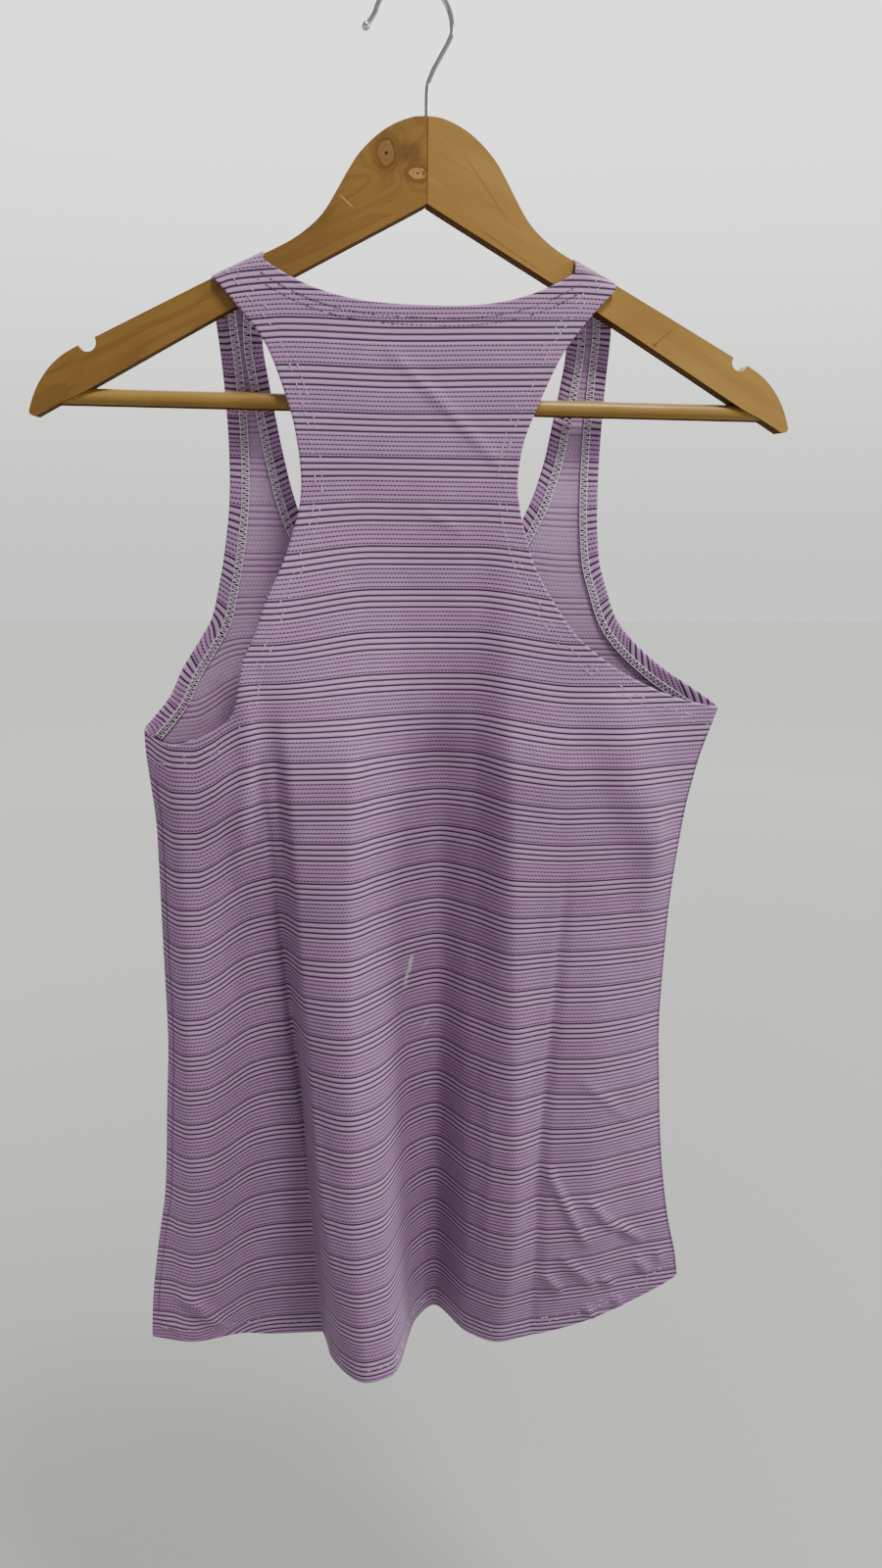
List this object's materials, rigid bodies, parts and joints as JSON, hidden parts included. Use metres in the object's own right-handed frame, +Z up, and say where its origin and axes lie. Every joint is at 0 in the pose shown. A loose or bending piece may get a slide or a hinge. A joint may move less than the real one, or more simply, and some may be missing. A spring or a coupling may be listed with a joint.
{
  "type": "racerback tank top on a wooden hanger",
  "caption": "Sleeveless striped sports top with a racerback and scoop neck, hanging from a wooden hanger with a trouser bar and a wire hook.",
  "frame": {"origin": "inside top of the hook, where a rail, peg or nail carries the hanger", "axes": "+Z up, along the top's length; +X to the right as seen from the top's back; +Y towards the top's front"},
  "size_m": [0.4444, 0.0962, 0.8481],
  "materials": {
    "cloth": "matt lilac sports knit with darker stripes",
    "wood": "clear gloss varnish on knotty softwood",
    "wire": "bright plated wire"
  },
  "bodies": {
    "root": {"back_panel": "cloth", "front_panel": "cloth", "back_neck_hem": "cloth", "front_neck_hem": "cloth", "back_armhole_hem_left": "cloth", "back_armhole_hem_right": "cloth", "front_armhole_hem_left": "cloth", "front_armhole_hem_right": "cloth", "back_bottom_hem": "cloth", "front_bottom_hem": "cloth", "hanger_arm_left": "wood", "hanger_arm_right": "wood", "trouser_bar": "wood", "hook": "wire"}
  },
  "joints": []
}
